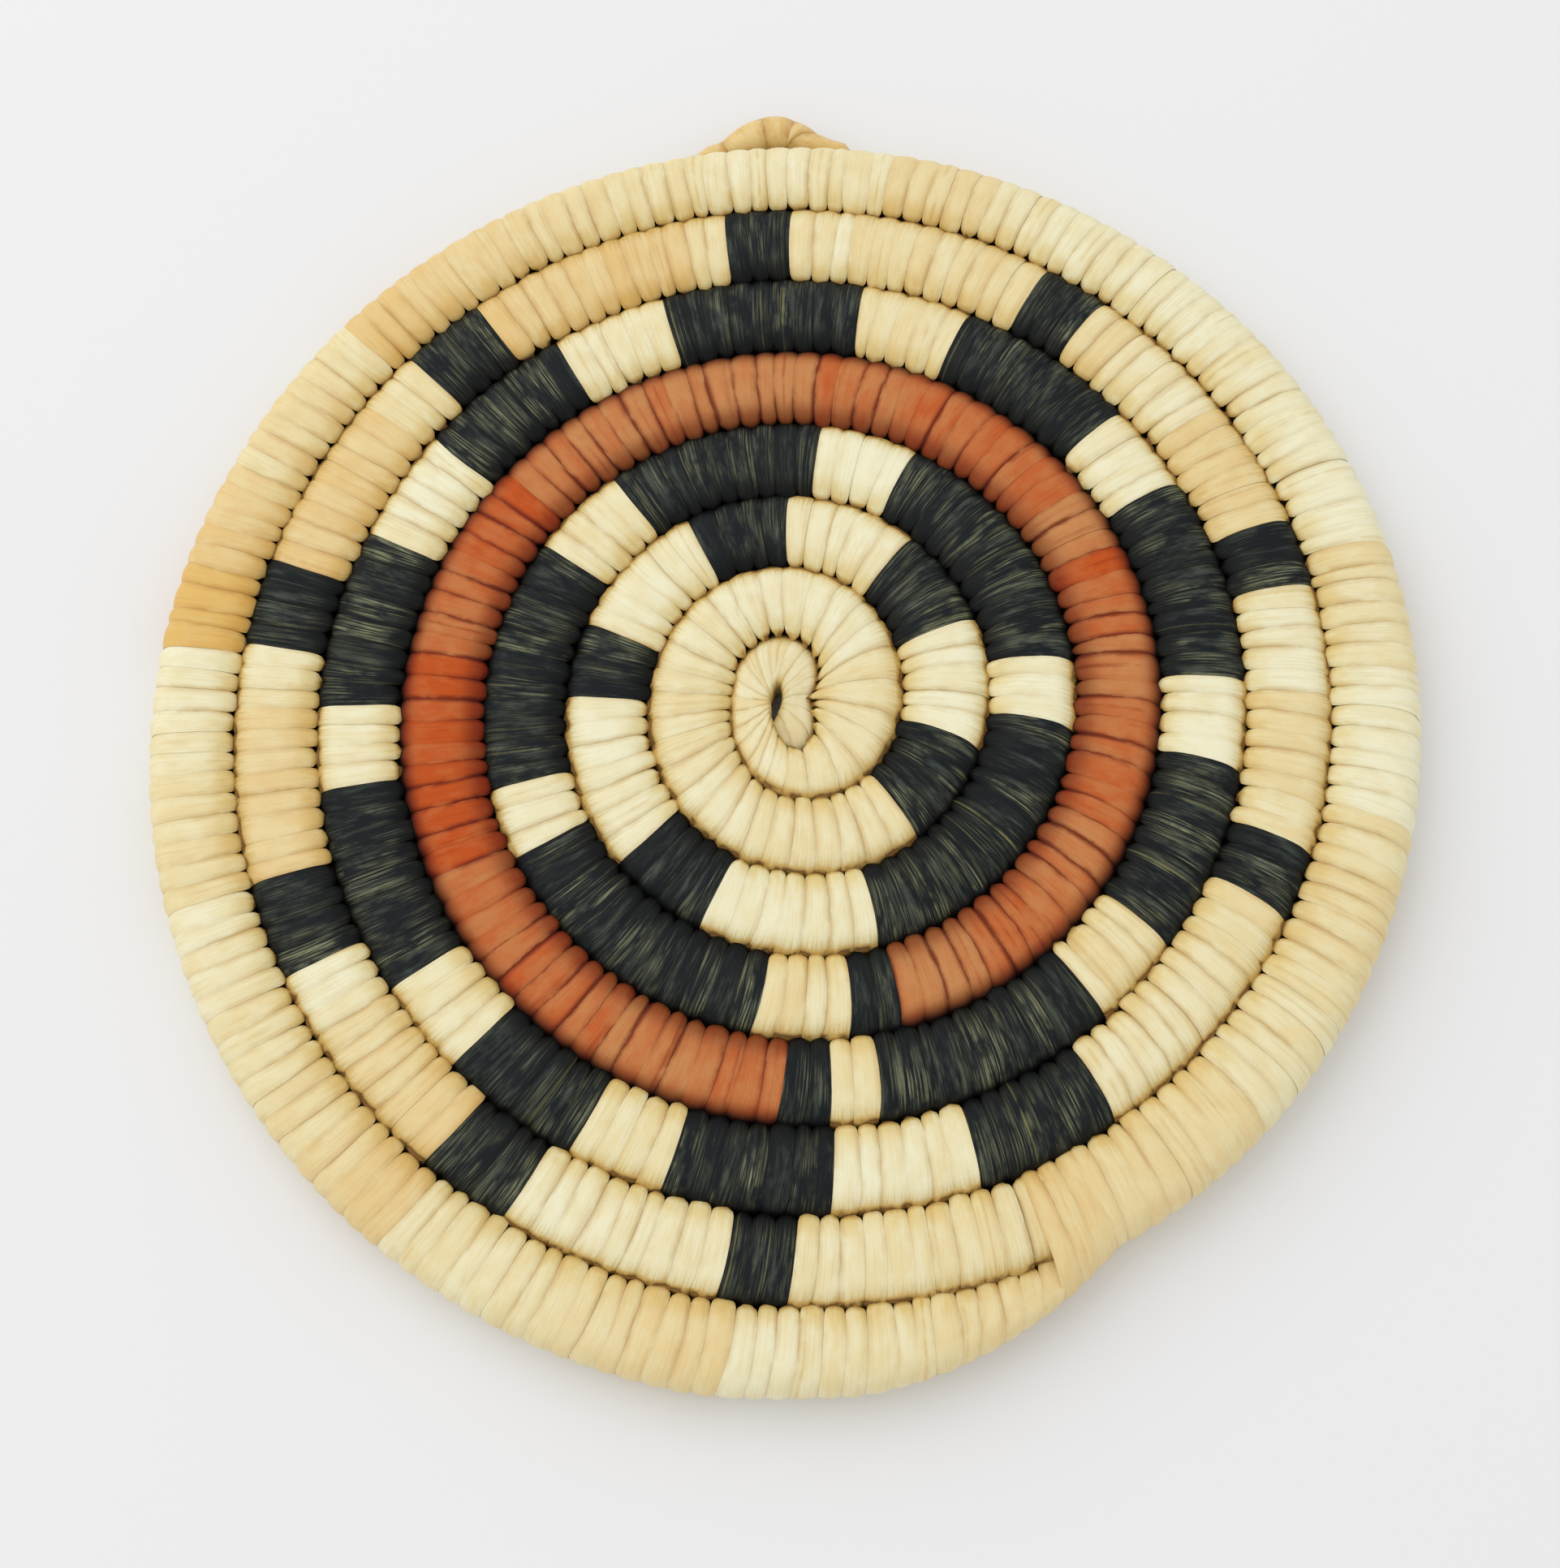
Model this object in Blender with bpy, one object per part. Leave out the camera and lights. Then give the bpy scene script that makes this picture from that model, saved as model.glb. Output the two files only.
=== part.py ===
"""Coiled plaque: a grass bundle laid in one flat spiral, wrapped with plant splints in colour runs, with a hanging
loop on its rim. Metres, +Z up out of the front face, the hanging loop towards +Y, the underside on z = 0."""

import bisect
import math

import bmesh
import bpy
from mathutils import Vector

TURN = math.tau

# Driving dimensions of the coil
COIL_PITCH = 0.0115
COIL_HEIGHT = 0.010
START_HEIGHT = 0.0075
STITCH_WIDTH = 0.003
TURN_GAP = 0.0006
FOOT_CUT = 0.0005

# The spiral's hand-made irregularity: an oval start beside the slit, which settles into a round rim
START_RADIUS = 0.00345
START_SWELL = 0.00158
OVAL_START = 0.00238
OVAL_AXIS = math.radians(102)
START_SHIFT = Vector((-0.00131, 0.00042))
RIM_SHIFT = Vector((0.00046, -0.00006))
SETTLE_TURNS = 1.53
SETTLE_FROM_TURNS = -0.2
RIM_TURNS = 8
SLIT_LENGTH = 0.0040
SLIT_WIDTH = 0.0010
SLIT_SHIFT = Vector((-0.0014, 0.0006))
SLIT_AXIS = math.radians(79)
SLIT_LEAVE_ANGLE = math.radians(-160)
SLIT_LEFT_ANGLE = math.radians(-60)
START_ANGLE = math.radians(-418)

# The tip, where the bundle is thinned to almost nothing and sewn to the turn beside it at half its height
TIP_STITCHES = 7.5
TIP_WIDTH_SHARE = 0.09
TIP_HEIGHT_SHARE = 0.55
TIP_WALL = 0.0085

# The free side of the last turn bulges past the seam line, as no neighbour presses it in. It is widest where it
# starts, just past the tip, and settles, and it ends a little before the tip
RIM_BULGE = 0.0009
RIM_BULGE_SWING = 0.0005
RIM_BULGE_AXIS = math.radians(290)
RIM_BULGE_OVAL = 0.0004
START_BULGE = 0.0009
BULGE_GROW_ANGLE = math.radians(5)
BULGE_SETTLE_ANGLE = math.radians(70)
BULGE_END_ANGLE = math.radians(26)
BULGE_FADE_ANGLE = math.radians(14)

# The wrap: ribs of a few stitches, a bore for the bundle, and a strip carried under black blocks of the outer turn
STITCHES_PER_RIB = 3
RIB_DEPTH = 0.0004
WRAP_WALL = 0.0015
BUNDLE_CLEARANCE = 0.0003
RUN_GAP = 0.0003
END_WALL = 0.0010
STRIP_WIDTH = 0.0020
STRIP_THICKNESS = 0.00035
STRIP_SINK = 0.00015
STRIP_LAP = 0.0025
MOST_RIB_ANGLE = math.radians(30)
MOST_BUNDLE_STEP_ANGLE = math.radians(15)
MEASURE_STEP_ANGLE = math.radians(1)
SHARP_ANGLE = math.radians(20)
BUNDLE_SAG = 0.0005

# Right halves of the sections, as shares of half the width and of the height, from the foot to the top
SKIN_SHARES = ((0.42, 0.0), (1.0, 0.29), (1.0, 0.69), (0.42, 1.0))
BUNDLE_SHARES = ((0.5, 0.0), (1.0, 0.5), (0.5, 1.0))

# The hanging loop, a thin wrapped bundle that leaves the rim and comes back to it
LOOP_ANGLE = math.radians(92.9)
LOOP_SPAN = 0.0195
LOOP_STAND_OFF = 0.0017
LOOP_DIAMETER = 0.0055
LOOP_FOOT_DIAMETER = 0.0028
LOOP_MID_HEIGHT = 0.0032
LOOP_WALL = 0.0006
LOOP_RIB_DEPTH = 0.00025
LOOP_RIBS = 6
LOOP_SIDES = 8
LOOP_TAIL = 0.0015
SEAT_GAP = 0.0003

# Stitches of each colour, from the centre to the tip, one line for about each turn of the spiral
STITCH_CHART = (
    ("natural", 42), ("black", 4),
    ("natural", 5), ("black", 4), ("natural", 5), ("black", 4), ("natural", 6), ("black", 3), ("natural", 7),
    ("black", 4), ("natural", 7),
    ("black", 12), ("natural", 3), ("black", 11), ("natural", 4), ("black", 9), ("natural", 4), ("black", 11),
    ("natural", 3), ("black", 12), ("natural", 4), ("black", 2),
    ("red", 93),
    ("black", 2), ("natural", 2), ("black", 10), ("natural", 4), ("black", 8), ("natural", 4), ("black", 9),
    ("natural", 4), ("black", 8), ("natural", 5), ("black", 9), ("natural", 5), ("black", 7), ("natural", 5),
    ("black", 8), ("natural", 4), ("black", 9), ("natural", 4), ("black", 6), ("natural", 4), ("black", 7),
    ("natural", 6), ("black", 6),
    ("natural", 11), ("black", 3), ("natural", 12), ("black", 3), ("natural", 13), ("black", 3), ("natural", 12),
    ("black", 3), ("natural", 12), ("black", 4), ("natural", 11), ("black", 4), ("natural", 11), ("black", 4),
    ("natural", 10), ("black", 4), ("natural", 9), ("black", 3), ("natural", 185),
)
FIRST_CARRIED_RUN = 46

# Colour, roughness
FINISHES = {
    "natural": ((0.78, 0.66, 0.42), 0.55),
    "black": ((0.022, 0.030, 0.036), 0.5),
    "red": ((0.47, 0.11, 0.045), 0.6),
    "grass": ((0.42, 0.30, 0.12), 0.8),
    "loop": ((0.72, 0.47, 0.20), 0.5),
}

NOMINAL_HALF = (COIL_PITCH - TURN_GAP) / 2
TOTAL_STITCHES = sum(count for _, count in STITCH_CHART)


def clear_scene():
    for thing in list(bpy.data.objects):
        bpy.data.objects.remove(thing, do_unlink=True)


def smooth_step(share):
    share = min(max(share, 0), 1)
    return share * share * (3 - 2 * share)


def mix(a, b, share):
    return a + (b - a) * share


# The spiral


def slit_radius(angle):
    """The slit at the centre is a thin ellipse."""
    long, short = SLIT_LENGTH / 2, SLIT_WIDTH / 2
    from_axis = angle - SLIT_AXIS
    return long * short / math.hypot(short * math.cos(from_axis), long * math.sin(from_axis))


def seam(angle):
    """Point of the groove between two turns, at a running angle that counts the turns."""
    turns = angle / TURN
    fade = math.exp((SETTLE_FROM_TURNS - turns) / SETTLE_TURNS)
    oval = OVAL_START * math.cos(2 * (angle - OVAL_AXIS))
    radius = START_RADIUS + COIL_PITCH * turns + (START_SWELL + oval) * fade
    left = smooth_step((angle - SLIT_LEAVE_ANGLE) / (SLIT_LEFT_ANGLE - SLIT_LEAVE_ANGLE))
    radius = mix(slit_radius(angle), radius, left)
    centre = START_SHIFT * fade + RIM_SHIFT * (turns / RIM_TURNS) + SLIT_SHIFT * (1 - left)
    return centre + Vector((math.cos(angle), math.sin(angle))) * radius


def middle(angle):
    return (seam(angle) + seam(angle + TURN)) / 2


def measure_coil():
    """Running angles at equal small steps, and the length along the middle of the coil at each."""
    angles, lengths = [START_ANGLE], [0.0]
    here = middle(START_ANGLE)
    while lengths[-1] < (TOTAL_STITCHES + 1) * STITCH_WIDTH:
        angles.append(angles[-1] + MEASURE_STEP_ANGLE)
        there = middle(angles[-1])
        lengths.append(lengths[-1] + (there - here).length)
        here = there
    return angles, lengths


COIL_ANGLES, COIL_LENGTHS = measure_coil()


def angle_at(stitches):
    """Running angle after so many stitches from the start."""
    length = stitches * STITCH_WIDTH
    after = min(max(bisect.bisect_right(COIL_LENGTHS, length), 1), len(COIL_LENGTHS) - 1)
    before = after - 1
    share = (length - COIL_LENGTHS[before]) / (COIL_LENGTHS[after] - COIL_LENGTHS[before])
    return mix(COIL_ANGLES[before], COIL_ANGLES[after], share)


TIP_ANGLE = angle_at(TOTAL_STITCHES)


def bulge(angle):
    """How far the coil stands out past the seam line at a running angle."""
    free = angle - TIP_ANGLE + TURN
    rim = RIM_BULGE + RIM_BULGE_SWING * math.cos(angle - RIM_BULGE_AXIS) + RIM_BULGE_OVAL * math.cos(2 * angle)
    rim += START_BULGE * (1 - smooth_step(free / BULGE_SETTLE_ANGLE))
    left = TIP_ANGLE - angle - BULGE_END_ANGLE
    return rim * smooth_step(free / BULGE_GROW_ANGLE) * smooth_step(left / BULGE_FADE_ANGLE)


def edges(angle):
    """Inner and outer edge of the coil, and the unit vector outwards, at a running angle."""
    inner, outer = seam(angle), seam(angle + TURN)
    outwards = (outer - inner).normalized()
    return inner + outwards * (TURN_GAP / 2), outer + outwards * (bulge(angle) - TURN_GAP / 2), outwards


def coil_at(stitches):
    """Middle of the foot, unit vector outwards, half the width and the height of the coil after so many stitches."""
    angle = angle_at(stitches)
    inner, outer, outwards = edges(angle)
    tip = smooth_step((stitches - TOTAL_STITCHES) / TIP_STITCHES + 1)
    outer = inner + (outer - inner) * mix(1, TIP_WIDTH_SHARE, tip)
    height = mix(START_HEIGHT, COIL_HEIGHT, smooth_step((angle - START_ANGLE) / TURN))
    thinned = height * mix(1, TIP_HEIGHT_SHARE, tip)
    foot = Vector((*(inner + outer) / 2, (height - thinned) / 2))
    return foot, outwards.to_3d(), (outer - inner).length / 2, thinned


def both_sides(corners):
    """A right half of a section, from the foot up, made whole."""
    return corners + [(-across, up) for across, up in reversed(corners)]


def place(corners, foot, outwards):
    return [foot + outwards * across + Vector((0, 0, up)) for across, up in corners]


def thinness(half):
    """The wrap is thinner on the thin start and tip of the coil."""
    return min(1, half / NOMINAL_HALF)


def skin_ring(stitches, depth):
    """The wrap's outer section, whose round underside is cut flat."""
    foot, outwards, half, height = coil_at(stitches)
    depth *= thinness(half)
    half -= depth
    full = height - depth + FOOT_CUT
    corners = [(across * half, up * full - FOOT_CUT) for across, up in SKIN_SHARES]
    (foot_across, foot_up), (side_across, side_up) = corners[:2]
    corners[0] = (mix(foot_across, side_across, -foot_up / (side_up - foot_up)), 0)
    return place(both_sides(corners), foot, outwards)


def bundle_ring(stitches, clearance, lift=0):
    """The bundle's section, or the bore around it where the clearance is zero, whose top a lift raises."""
    foot, outwards, half, height = coil_at(stitches)
    inset = WRAP_WALL * thinness(half) + clearance
    half -= inset
    corners = []
    for across, up in BUNDLE_SHARES:
        corners.append((across * half, mix(inset, height - inset, up) + (lift if up == 1 else 0)))
    return place(both_sides(corners), foot, outwards)


# Meshes


def add_tube(bm, rings):
    """Rows of points joined into a tube with open ends."""
    rows = [[bm.verts.new(point) for point in ring] for ring in rings]
    for row, following in zip(rows, rows[1:]):
        for i in range(len(row)):
            j = (i + 1) % len(row)
            bm.faces.new((row[i], row[j], following[j], following[i]))
    return rows


def add_rim(bm, row, other):
    """Fills the flat band between two closed rows that start at the same corner."""
    i = j = 0
    while i < len(row) or j < len(other):
        here, there = row[i % len(row)], other[j % len(other)]
        if (i + 1) * len(other) <= (j + 1) * len(row):
            i += 1
            bm.faces.new((here, row[i % len(row)], there))
        else:
            j += 1
            bm.faces.new((here, other[j % len(other)], there))


def close_end(bm, skin_row, bore_row, blind):
    """A blind end caps the skin and the bore apart, and an open one joins them with a rim."""
    if blind:
        bm.faces.new(skin_row)
        bm.faces.new(bore_row)
    else:
        add_rim(bm, skin_row, bore_row)


def add_sleeve(bm, skin_rings, bore_rings, blind_start=False, blind_end=False):
    skin = add_tube(bm, skin_rings)
    bore = add_tube(bm, bore_rings)
    close_end(bm, skin[0], bore[0], blind_start)
    close_end(bm, skin[-1], bore[-1], blind_end)


def make_object(name, bm, finish):
    bmesh.ops.recalc_face_normals(bm, faces=bm.faces)
    mesh = bpy.data.meshes.new(name)
    bm.to_mesh(mesh)
    bm.free()
    mesh.shade_smooth()
    mesh.set_sharp_from_angle(angle=SHARP_ANGLE)
    mesh.materials.append(material(finish))
    piece = bpy.data.objects.new(name, mesh)
    bpy.context.scene.collection.objects.link(piece)
    return piece


def material(finish):
    if finish in bpy.data.materials:
        return bpy.data.materials[finish]
    colour, roughness = FINISHES[finish]
    made = bpy.data.materials.new(finish)
    made.use_nodes = True
    shader = made.node_tree.nodes["Principled BSDF"]
    shader.inputs["Base Color"].default_value = (*colour, 1)
    shader.inputs["Roughness"].default_value = roughness
    shader.inputs["Metallic"].default_value = 0
    return made


# The foundation bundle and its wrap


def list_runs():
    """Number, colour, first and last stitch of each colour run."""
    runs, stitch = [], 0
    for number, (colour, count) in enumerate(STITCH_CHART):
        runs.append((number, colour, stitch, stitch + count))
        stitch += count
    return runs


def spread(first, last, steps):
    return [mix(first, last, i / steps) for i in range(steps + 1)]


def bundle_stations(first, last):
    """Stations of the bundle along a run, close enough that its straight pieces stay inside the wrap."""
    length = (last - first) * STITCH_WIDTH
    turned = angle_at(last) - angle_at(first)
    step = min(math.sqrt(8 * BUNDLE_SAG * length / turned), MOST_BUNDLE_STEP_ANGLE * length / turned)
    return spread(first, last, max(1, math.ceil(length / step)))


def skin_stations(first, last):
    """Stations of a run's skin: a groove at each end of a rib and a crest between them."""
    turned = angle_at(last) - angle_at(first)
    ribs = max(1, round((last - first) / STITCHES_PER_RIB), math.ceil(turned / MOST_RIB_ANGLE))
    trim = RUN_GAP / 2 / STITCH_WIDTH
    return spread(first + trim, last - trim, 2 * ribs)


def trimmed(stations, start_trim, end_trim):
    first = stations[0] + start_trim / STITCH_WIDTH
    last = stations[-1] - end_trim / STITCH_WIDTH
    return [first] + [s for s in stations[1:-1] if first < s < last] + [last]


def add_run(bm, first, last, lift=0):
    """One colour run's sleeve. The first run is blind at the coil's start, and the last at its tip."""
    at_start, at_tip = first == 0, last == TOTAL_STITCHES
    stations = skin_stations(first, last)
    skin = [skin_ring(s, RIB_DEPTH if i % 2 == 0 else 0) for i, s in enumerate(stations)]
    bore_stations = trimmed(
        bundle_stations(first, last),
        END_WALL if at_start else RUN_GAP / 2,
        TIP_WALL if at_tip else RUN_GAP / 2,
    )
    bore = [bundle_ring(s, 0, lift) for s in bore_stations]
    add_sleeve(bm, skin, bore, at_start, at_tip)


def add_strip(bm, first, last):
    """The unused natural splint, carried along the top of the bundle under a black block."""
    lap = STRIP_LAP / STITCH_WIDTH
    rings = []
    for stitches in spread(first - lap, last + lap, 2):
        foot, outwards, half, height = coil_at(stitches)
        under = height - WRAP_WALL + STRIP_SINK
        across = STRIP_WIDTH / 2
        corners = [(across, under), (across, under + STRIP_THICKNESS)]
        rings.append(place(both_sides(corners), foot, outwards))
    rows = add_tube(bm, rings)
    bm.faces.new(rows[0])
    bm.faces.new(rows[-1])


def make_bundle(runs):
    stations = [0]
    for _, _, first, last in runs:
        stations += bundle_stations(first, last)[1:]
    kept = trimmed(stations, END_WALL + BUNDLE_CLEARANCE, TIP_WALL + BUNDLE_CLEARANCE)
    rings = [bundle_ring(s, BUNDLE_CLEARANCE) for s in kept]
    bm = bmesh.new()
    rows = add_tube(bm, rings)
    bm.faces.new(rows[0])
    bm.faces.new(rows[-1])
    make_object("foundation_bundle", bm, "grass")
    return rings


def make_wraps(runs):
    """Each run is a piece, but the natural runs of the outer turn are one splint, joined under the black blocks."""
    for number, colour, first, last in runs[:FIRST_CARRIED_RUN]:
        bm = bmesh.new()
        add_run(bm, first, last)
        make_object(f"wrap_{number + 1:02d}_{colour}", bm, colour)
    border, strips = bmesh.new(), bmesh.new()
    for number, colour, first, last in runs[FIRST_CARRIED_RUN:]:
        if colour == "natural":
            add_run(border, first, last)
            continue
        add_strip(strips, first, last)
        bm = bmesh.new()
        add_run(bm, first, last, lift=STRIP_SINK + STRIP_THICKNESS + BUNDLE_CLEARANCE)
        make_object(f"wrap_{number + 1:02d}_{colour}", bm, colour)
    carried = make_object("carried_strips", strips, "natural")
    carried.hide_render = True
    carried.display_type = "WIRE"
    join = make_object("wrap_border_natural", border, "natural").modifiers.new("carried_strips", "BOOLEAN")
    join.operation = "UNION"
    join.object = carried


# The hanging loop


def rim_point(angle):
    """Outer edge of the coil's last turn in a direction, and the unit vector outwards there."""
    angle += TURN * math.floor((TIP_ANGLE - angle) / TURN)
    _, outer, outwards = edges(angle)
    return outer, outwards


def loop_at(share, tail=0):
    """Centre and radius of the loop, from -1 at one foot to 1 at the other, a tail going on past a foot."""
    rim_radius = rim_point(LOOP_ANGLE)[0].length
    angle = LOOP_ANGLE + (share * LOOP_SPAN / 2 + tail) / rim_radius
    rise = (1 + math.cos(math.pi * share)) / 2
    radius = mix(LOOP_FOOT_DIAMETER, LOOP_DIAMETER, rise) / 2
    edge, outwards = rim_point(angle)
    centre = edge + outwards * (SEAT_GAP + radius + LOOP_STAND_OFF * rise)
    return Vector((*centre, LOOP_MID_HEIGHT)), radius


def loop_ring(share, inset, tail=0):
    centre, radius = loop_at(share, tail)
    nearby = MOST_BUNDLE_STEP_ANGLE / TURN
    along = (loop_at(min(share + nearby, 1))[0] - loop_at(max(share - nearby, -1))[0]).normalized()
    sideways = along.cross(Vector((0, 0, 1)))
    ring = []
    for i in range(LOOP_SIDES):
        turn = TURN * (i + 0.5) / LOOP_SIDES
        arm = sideways * math.cos(turn) + Vector((0, 0, 1)) * math.sin(turn)
        ring.append(centre + arm * (radius - inset))
    return ring


def make_loop():
    shares = spread(-1, 1, 2 * LOOP_RIBS)
    bm = bmesh.new()
    skin = [loop_ring(s, LOOP_RIB_DEPTH if i % 2 == 0 else 0) for i, s in enumerate(shares)]
    add_sleeve(bm, skin, [loop_ring(s, LOOP_WALL) for s in shares])
    make_object("loop_wrap", bm, "loop")
    inset = LOOP_WALL + BUNDLE_CLEARANCE
    rings = [loop_ring(-1, inset, -LOOP_TAIL)]
    rings += [loop_ring(s, inset) for s in shares]
    rings.append(loop_ring(1, inset, LOOP_TAIL))
    bm = bmesh.new()
    rows = add_tube(bm, rings)
    bm.faces.new(rows[0])
    bm.faces.new(rows[-1])
    make_object("loop_bundle", bm, "grass")


# Checks that the turns stay apart


def least_gap(outer_points, inner_points, fewest_apart):
    """Least distance from one turn's outer edge to the inner edge of a turn further out, seen from above."""
    least = COIL_PITCH
    for i, point in enumerate(outer_points):
        for start, end in zip(inner_points[i + fewest_apart :], inner_points[i + fewest_apart + 1 :]):
            along = end - start
            share = min(max((point - start).dot(along) / along.length_squared, 0), 1)
            least = min(least, (start + along * share - point).length)
    return least


def print_gaps(bundle_rings, runs):
    side = 1
    opposite = len(BUNDLE_SHARES) * 2 - 2
    outer = [ring[side].xy for ring in bundle_rings]
    inner = [ring[opposite].xy for ring in bundle_rings]
    turn_steps = math.floor(TURN / MOST_BUNDLE_STEP_ANGLE)
    print(f"bundle: least gap to itself {least_gap(outer, inner, turn_steps // 2) * 1000:.2f} mm")
    rings = []
    for _, _, first, last in runs:
        rings += [skin_ring(s, 0) for s in skin_stations(first, last)]
    opposite = len(SKIN_SHARES) * 2 - 2
    outer = [ring[side].xy for ring in rings]
    inner = [ring[opposite].xy for ring in rings]
    turn_steps = math.floor(TURN / MOST_RIB_ANGLE)
    print(f"wrap: least gap from turn to turn {least_gap(outer, inner, turn_steps) * 1000:.2f} mm")


def stand_over_origin():
    """Moves every piece so that the middle of the underside is the origin."""
    pieces = list(bpy.data.objects)
    points = [vertex.co for piece in pieces for vertex in piece.data.vertices]
    for piece in pieces:
        for axis in range(2):
            low = min(point[axis] for point in points)
            high = max(point[axis] for point in points)
            piece.location[axis] = -(low + high) / 2


def main():
    clear_scene()
    runs = list_runs()
    bundle_rings = make_bundle(runs)
    make_wraps(runs)
    make_loop()
    stand_over_origin()
    print_gaps(bundle_rings, runs)


main()
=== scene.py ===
"""Looks of a coiled basketry plaque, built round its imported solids. Every stitch of the wrap is a closed
band of its own on the solids' spiral and stitch chart. Metres, in the solids' frame: +Z out of the front,
the hanging loop towards +Y."""

import math

import bpy
import numpy as np
from mathutils import Euler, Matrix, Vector


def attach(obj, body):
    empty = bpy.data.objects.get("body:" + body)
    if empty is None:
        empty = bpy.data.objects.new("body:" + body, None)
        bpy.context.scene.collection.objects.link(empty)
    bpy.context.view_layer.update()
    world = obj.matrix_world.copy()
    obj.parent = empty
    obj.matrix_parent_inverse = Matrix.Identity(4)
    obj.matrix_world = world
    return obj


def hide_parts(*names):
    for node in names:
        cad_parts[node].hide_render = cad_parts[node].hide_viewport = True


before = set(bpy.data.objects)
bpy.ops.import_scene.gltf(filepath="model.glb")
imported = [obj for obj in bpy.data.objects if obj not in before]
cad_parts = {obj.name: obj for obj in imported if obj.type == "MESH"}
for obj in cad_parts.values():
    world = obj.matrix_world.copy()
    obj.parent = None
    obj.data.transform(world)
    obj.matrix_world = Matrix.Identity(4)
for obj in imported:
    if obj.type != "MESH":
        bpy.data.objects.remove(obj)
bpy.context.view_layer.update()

TURN = math.tau

# The spiral, as the solids have it. The slit is its length, width, axis and shift
COIL_CENTRE = Vector((0.00229, -0.00054))
COIL_PITCH = 0.0115
COIL_HEIGHT = 0.010
TURN_GAP = 0.0006
START_HEIGHT = 0.0075
STITCH_WIDTH = 0.003
START_RADIUS = 0.00345
START_SWELL = 0.00158
OVAL_START = 0.00238
OVAL_AXIS = math.radians(102)
START_SHIFT = (-0.00131, 0.00042)
RIM_SHIFT = (0.00046, -0.00006)
SETTLE_TURNS = 1.53
SETTLE_FROM_TURNS = -0.2
RIM_TURNS = 8
SLIT = (0.0040, 0.0010, math.radians(79), (-0.0014, 0.0006))
SLIT_LEAVE_ANGLE = math.radians(-160)
SLIT_LEFT_ANGLE = math.radians(-60)
START_ANGLE = math.radians(-418)
MEASURE_STEP_ANGLE = math.radians(1)
TIP_HEIGHT_SHARE = 0.55
RIM_BULGE = 0.0009
RIM_BULGE_SWING = 0.0005
RIM_BULGE_AXIS = math.radians(290)
RIM_BULGE_OVAL = 0.0004
BULGE_END_ANGLE = math.radians(26)
BULGE_FADE_ANGLE = math.radians(14)

# The tip as photographed, slimmer and longer than the solids', and the bulge that starts right behind it
TIP_STITCHES = 13
TIP_WIDTH_SHARE = 0.17
TIP_CURVE = 1.5
START_BULGE = 0.0012
BULGE_GROW_ANGLE = math.radians(1.6)
BULGE_SETTLE_ANGLE = math.radians(60)

# Stitches of each colour, from the centre to the tip
STITCH_CHART = (
    ("natural", 42), ("black", 4),
    ("natural", 5), ("black", 4), ("natural", 5), ("black", 4), ("natural", 6), ("black", 3), ("natural", 7),
    ("black", 4), ("natural", 7),
    ("black", 12), ("natural", 3), ("black", 11), ("natural", 4), ("black", 9), ("natural", 4), ("black", 11),
    ("natural", 3), ("black", 12), ("natural", 4), ("black", 2),
    ("red", 93),
    ("black", 2), ("natural", 2), ("black", 10), ("natural", 4), ("black", 8), ("natural", 4), ("black", 9),
    ("natural", 4), ("black", 8), ("natural", 5), ("black", 9), ("natural", 5), ("black", 7), ("natural", 5),
    ("black", 8), ("natural", 4), ("black", 9), ("natural", 4), ("black", 6), ("natural", 4), ("black", 7),
    ("natural", 6), ("black", 6),
    ("natural", 11), ("black", 3), ("natural", 12), ("black", 3), ("natural", 13), ("black", 3),
    ("natural", 12), ("black", 3), ("natural", 12), ("black", 4), ("natural", 11), ("black", 4),
    ("natural", 11), ("black", 4), ("natural", 10), ("black", 4), ("natural", 9), ("black", 3),
    ("natural", 185),
)
FIRST_CARRIED_RUN = 46
RUN_ENDS = np.cumsum([count for _, count in STITCH_CHART])
TOTAL_STITCHES = int(RUN_ENDS[-1])

# The round start is sewn with half stitches, which close the wedge before the solids' first stitch. Its slit
# is longer than the solids' and lower, and the seam leaves it in a shorter bend and reaches further down
SEWN_SLIT = (0.0050, 0.0012, math.radians(86), (-0.0014, -0.0008))
SEWN_LEAVE_ANGLE = math.radians(-130)
SEWN_LEFT_ANGLE = math.radians(-88)
SEWN_REACH = 0.0030
SEWN_REACH_ANGLE = math.radians(-86)
SEWN_REACH_SPREAD = math.radians(32)
LEAD_IN_ANGLE = math.radians(90)
LEAD_IN_STITCHES = 1.0
HALF_STITCHES_UNTIL = 9

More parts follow.
